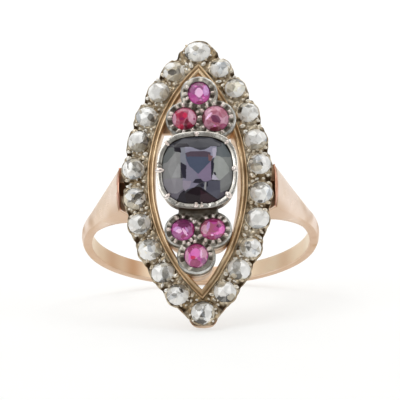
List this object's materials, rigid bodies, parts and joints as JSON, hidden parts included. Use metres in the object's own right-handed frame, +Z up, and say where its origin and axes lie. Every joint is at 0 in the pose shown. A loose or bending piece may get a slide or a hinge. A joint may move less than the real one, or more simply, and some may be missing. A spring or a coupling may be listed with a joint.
{
  "type": "navette cluster ring",
  "caption": "Antique pointed-oval cluster ring: cushion spinel in a collet between two ruby trefoils, openwork border of rose-cut diamonds, silver-topped rose gold hoop.",
  "frame": {"origin": "under the middle of the ring, on the surface that it lies on", "axes": "+X across the finger, the head faces -Y and leans back, +Z up"},
  "size_m": [0.019, 0.0238, 0.0211],
  "materials": {
    "rose_gold": "worn polish",
    "silver": "tarnished, khaki to grey",
    "silver_dark": "oxidised grey with bright grains",
    "spinel": "polished facets",
    "ruby": "polished facets",
    "diamond": "polished facets"
  },
  "bodies": {
    "root": {"gold_mount": "rose_gold", "silver_border": "silver", "silver_centre": "silver_dark", "spinel": "spinel", "ruby_top": "ruby", "ruby_upper_left": "ruby", "ruby_upper_right": "ruby", "ruby_lower_left": "ruby", "ruby_lower_right": "ruby", "ruby_bottom": "ruby", "diamond_tip_top": "diamond", "diamond_tip_bottom": "diamond", "diamond_left_1": "diamond", "diamond_left_2": "diamond", "diamond_left_3": "diamond", "diamond_left_4": "diamond", "diamond_left_5": "diamond", "diamond_left_6": "diamond", "diamond_left_7": "diamond", "diamond_left_8": "diamond", "diamond_left_9": "diamond", "diamond_left_10": "diamond", "diamond_right_1": "diamond", "diamond_right_2": "diamond", "diamond_right_3": "diamond", "diamond_right_4": "diamond", "diamond_right_5": "diamond", "diamond_right_6": "diamond", "diamond_right_7": "diamond", "diamond_right_8": "diamond", "diamond_right_9": "diamond", "diamond_right_10": "diamond"}
  },
  "joints": []
}
